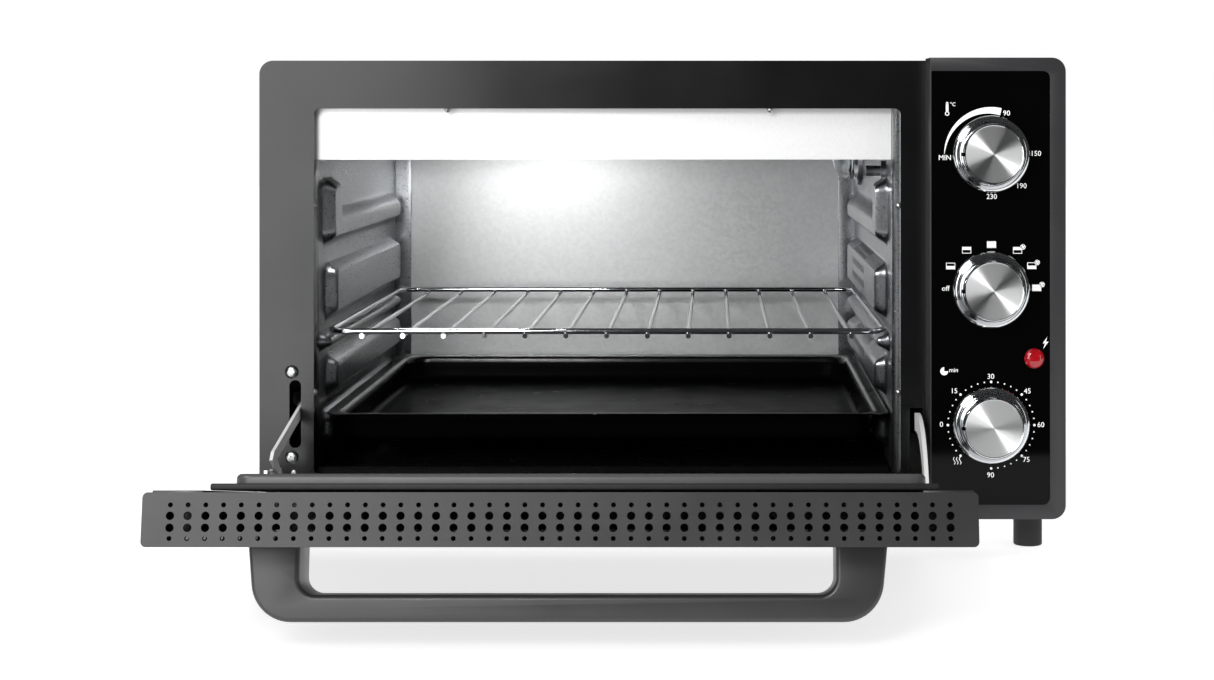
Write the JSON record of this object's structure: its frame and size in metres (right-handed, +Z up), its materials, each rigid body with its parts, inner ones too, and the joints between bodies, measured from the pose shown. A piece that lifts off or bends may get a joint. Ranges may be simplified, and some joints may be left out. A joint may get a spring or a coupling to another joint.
{
  "type": "toaster oven",
  "caption": "Countertop toaster oven with a drop-down door and loop handle, wire rack, baking tray, lit cavity and a side control panel with rotary knobs.",
  "frame": {"origin": "on the counter, under the centre of the whole object's box with the door open", "axes": "+X to the right as the user faces the oven, +Y into the oven away from the user, +Z up"},
  "size_m": [0.47, 0.6546, 0.2895],
  "materials": {
    "wrap_black": "satin black enamel on steel sheet",
    "frame_black": "satin black enamel",
    "galvanised": "galvanised sheet",
    "black_enamel": "gloss vitreous enamel",
    "panel_plastic": "fine moulded texture",
    "panel_gloss": "polished black",
    "knob_metal": "spun aluminium and chrome rim",
    "steel": "plain steel",
    "chrome_wire": "bright chrome plate",
    "heater_sheath": "oxidised stainless sheath",
    "ceramic": "white steatite",
    "switch_body": "phenolic moulding",
    "clear_glass": "clear borosilicate",
    "lamp_metal": "pressed steel",
    "red_lens": "translucent red",
    "door_dark": "satin dark grey enamel",
    "door_glass": "smoked tempered glass",
    "seal": "silicone",
    "handle_plastic": "satin moulded",
    "foot_rubber": "moulded"
  },
  "bodies": {
    "root": {"back_panel": "wrap_black", "baffle": "galvanised", "base_pan": "wrap_black", "case_screws": "steel", "cavity_back_wall": "galvanised", "cavity_floor": "black_enamel", "cavity_left_wall": "galvanised", "cavity_right_wall": "galvanised", "cavity_top": "galvanised", "control_bezel": "panel_plastic", "cord_gland": "panel_plastic", "crumb_tray": "black_enamel", "door_spring": "steel", "fan_motor": "switch_body", "fascia_plate": "panel_gloss", "feet": "foot_rubber", "frame_tabs": "galvanised", "front_frame": "frame_black", "function_switch": "switch_body", "heater_ceramics": "ceramic", "hinge_screws": "steel", "lamp_bulb": "clear_glass", "lamp_glass": "clear_glass", "lamp_ring": "lamp_metal", "lamp_socket": "ceramic", "left_hinge_bracket": "galvanised", "lower_heaters": "heater_sheath", "neon_holder": "switch_body", "neon_lens": "red_lens", "outer_wrap": "wrap_black", "rear_spacers": "panel_plastic", "right_hinge_bracket": "galvanised", "temperature_probe": "heater_sheath", "terminal_block": "ceramic", "thermostat": "switch_body", "timer_movement": "switch_body", "upper_heaters": "heater_sheath"},
    "door": {"door_frame": "door_dark", "hinge_pins": "steel", "link_pin": "steel", "link_lug": "steel", "door_outer_glass": "door_glass", "door_top_trim": "door_dark", "door_inner_frame": "door_dark", "door_inner_glass": "door_glass", "door_gasket": "seal", "door_handle": "handle_plastic", "handle_screws": "steel", "right_door_arm": "steel"},
    "spring_link": {"left_spring_link": "steel"},
    "rack": {"wire_rack": "chrome_wire"},
    "tray": {"baking_tray": "black_enamel"},
    "fan": {"fan_impeller": "steel", "fan_shaft": "steel"},
    "temperature_control": {"temperature_knob": "knob_metal", "temperature_shaft": "steel"},
    "function_control": {"function_knob": "knob_metal", "function_shaft": "steel"},
    "timer_control": {"timer_knob": "knob_metal", "timer_shaft": "steel"}
  },
  "joints": [
    {"name": "door_hinge", "type": "hinge", "parent": "root", "child": "door", "pos_m": [0, -0.07031, 0.0277], "axis": [-1, 0, 0], "range_deg": [0, 79.7], "deforming": ["door_spring"]},
    {"name": "link_pivot", "type": "hinge", "parent": "door", "child": "spring_link", "pos_m": [-0.212, -0.11628, 0.05435], "axis": [-1, 0, 0], "range_deg": [-55.8, 0]},
    {"name": "rack_slide", "type": "slide", "parent": "root", "child": "rack", "axis": [0, 1, 0], "range_m": [-0.2, 0]},
    {"name": "tray_slide", "type": "slide", "parent": "root", "child": "tray", "axis": [0, 1, 0], "range_m": [-0.1, 0]},
    {"name": "fan_spin", "type": "hinge", "parent": "root", "child": "fan", "pos_m": [0.152, 0.13769, 0.128], "axis": [1, 0, 0], "continuous": true},
    {"name": "temperature_turn", "type": "hinge", "parent": "root", "child": "temperature_control", "pos_m": [0.192, -0.05881, 0.234], "axis": [0, 1, 0], "range_deg": [0, 270]},
    {"name": "function_turn", "type": "hinge", "parent": "root", "child": "function_control", "pos_m": [0.192, -0.05881, 0.156], "axis": [0, 1, 0], "range_deg": [0, 180]},
    {"name": "timer_turn", "type": "hinge", "parent": "root", "child": "timer_control", "pos_m": [0.192, -0.05881, 0.078], "axis": [0, 1, 0], "range_deg": [-45, 270]}
  ],
  "couplings": [
    {"joint": "link_pivot", "follows": "door_hinge", "ratio": -0.7}
  ]
}
